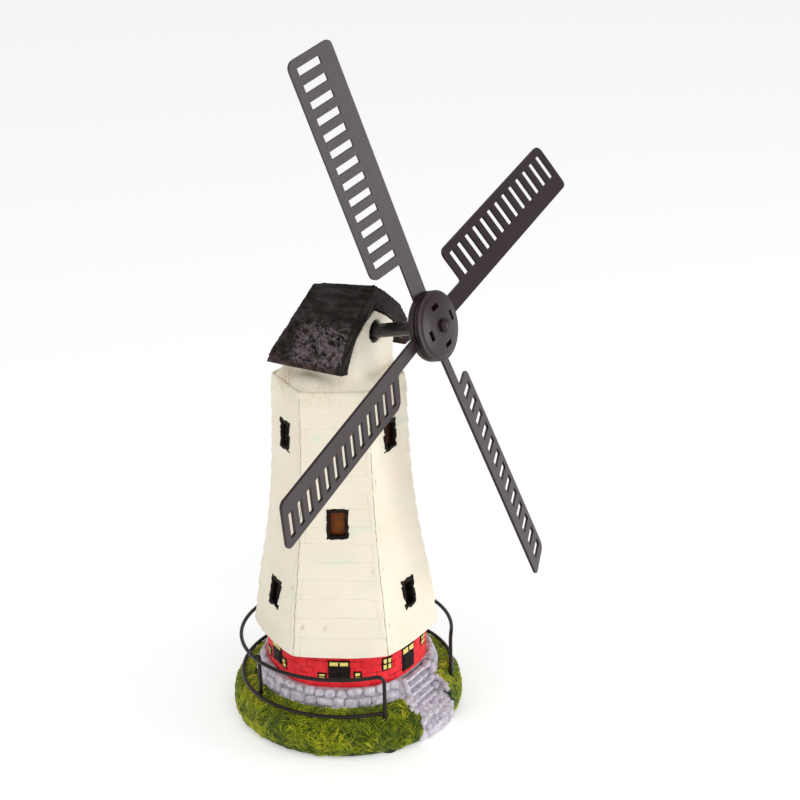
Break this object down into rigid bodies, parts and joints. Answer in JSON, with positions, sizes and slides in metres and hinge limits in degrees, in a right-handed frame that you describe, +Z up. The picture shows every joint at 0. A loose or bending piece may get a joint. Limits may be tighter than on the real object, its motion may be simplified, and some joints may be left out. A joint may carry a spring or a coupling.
{
  "type": "garden windmill",
  "caption": "Free-standing ornamental windmill: hexagonal tower on a grassy mound with a wire railing, curved roof and a free-spinning slatted rotor on a tilted shaft.",
  "frame": {"origin": "centre of the underside, on the flat base cover, in the plane that the object stands on", "axes": "+Z up; -Y is the front, with the rotor, door and steps; +X is to the right seen from the front"},
  "size_m": [0.3958, 0.2116, 0.4992],
  "materials": {
    "grass": "painted polyresin, mottled greens",
    "stonework": "painted polyresin, lavender-grey stones",
    "brickwork": "painted polyresin, red bricks with pale joints",
    "cream_boards": "painted polyresin, cream with faint washes",
    "dark_frames": "painted polyresin, dark brown",
    "amber_film": "translucent amber sheet",
    "bark_roof": "painted polyresin, near black, semi-gloss",
    "rotor_plastic": "moulded plastic, dark brown-grey, satin",
    "black_wire": "steel wire, black-brown paint",
    "bright_steel": "plain steel",
    "black_plastic": "moulded plastic",
    "white_plastic": "moulded plastic",
    "black_rubber": "soft rubber",
    "board_laminate": "printed circuit board",
    "clear_resin": "cast lamp body",
    "battery_wrap": "printed sleeve with no text",
    "solar_glass": "dark cell under clear cover",
    "lead_jacket": "flexible PVC"
  },
  "bodies": {
    "tower": {"ground_mound": "grass", "stone_foundation": "stonework", "steps_and_path": "stonework", "brick_storey": "brickwork", "tower_shell": "cream_boards", "cap_house": "cream_boards", "window_frame_1": "dark_frames", "window_frame_2": "dark_frames", "window_frame_3": "dark_frames", "window_frame_4": "dark_frames", "window_frame_5": "dark_frames", "window_frame_6": "dark_frames", "window_frame_7": "dark_frames", "window_frame_8": "dark_frames", "window_frame_9": "dark_frames", "amber_window_liner": "amber_film", "roof": "bark_roof", "upper_rail": "black_wire", "lower_rail": "black_wire", "rail_post_1": "black_wire", "rail_post_2": "black_wire", "rail_post_3": "black_wire", "cover_screw_1": "bright_steel", "cover_screw_2": "bright_steel", "cover_screw_3": "bright_steel", "front_bush": "black_plastic", "rear_bearing_bar": "black_plastic", "base_cover": "black_plastic", "battery_box": "black_plastic", "switch_body": "black_plastic", "solar_panel_bezel": "black_plastic", "rubber_foot_1": "black_rubber", "rubber_foot_2": "black_rubber", "rubber_foot_3": "black_rubber", "rubber_foot_4": "black_rubber", "circuit_board": "board_laminate", "led_lamp_1": "clear_resin", "led_lamp_2": "clear_resin", "rechargeable_cell": "battery_wrap", "solar_cell": "solar_glass", "panel_lead": "lead_jacket"},
    "rotor": {"hub_back": "rotor_plastic", "hub_cover": "rotor_plastic", "hub_cap": "rotor_plastic", "spacer_sleeve": "rotor_plastic", "blade_1": "rotor_plastic", "blade_2": "rotor_plastic", "blade_3": "rotor_plastic", "blade_4": "rotor_plastic", "rotor_shaft": "bright_steel", "shaft_nut": "bright_steel"},
    "battery_hatch": {"battery_door": "black_plastic"},
    "switch": {"switch_knob": "white_plastic"}
  },
  "joints": [
    {"name": "rotor_spin", "type": "hinge", "parent": "tower", "child": "rotor", "pos_m": [0, -0.0756, 0.3052], "axis": [0, -0.9725, 0.2328], "continuous": true},
    {"name": "battery_hatch_hinge", "type": "hinge", "parent": "tower", "child": "battery_hatch", "pos_m": [0, 0.027, 0.0013], "axis": [1, 0, 0], "range_deg": [0, 95]},
    {"name": "switch_slide", "type": "slide", "parent": "tower", "child": "switch", "axis": [1, 0, 0], "range_m": [0, 0.003]}
  ]
}
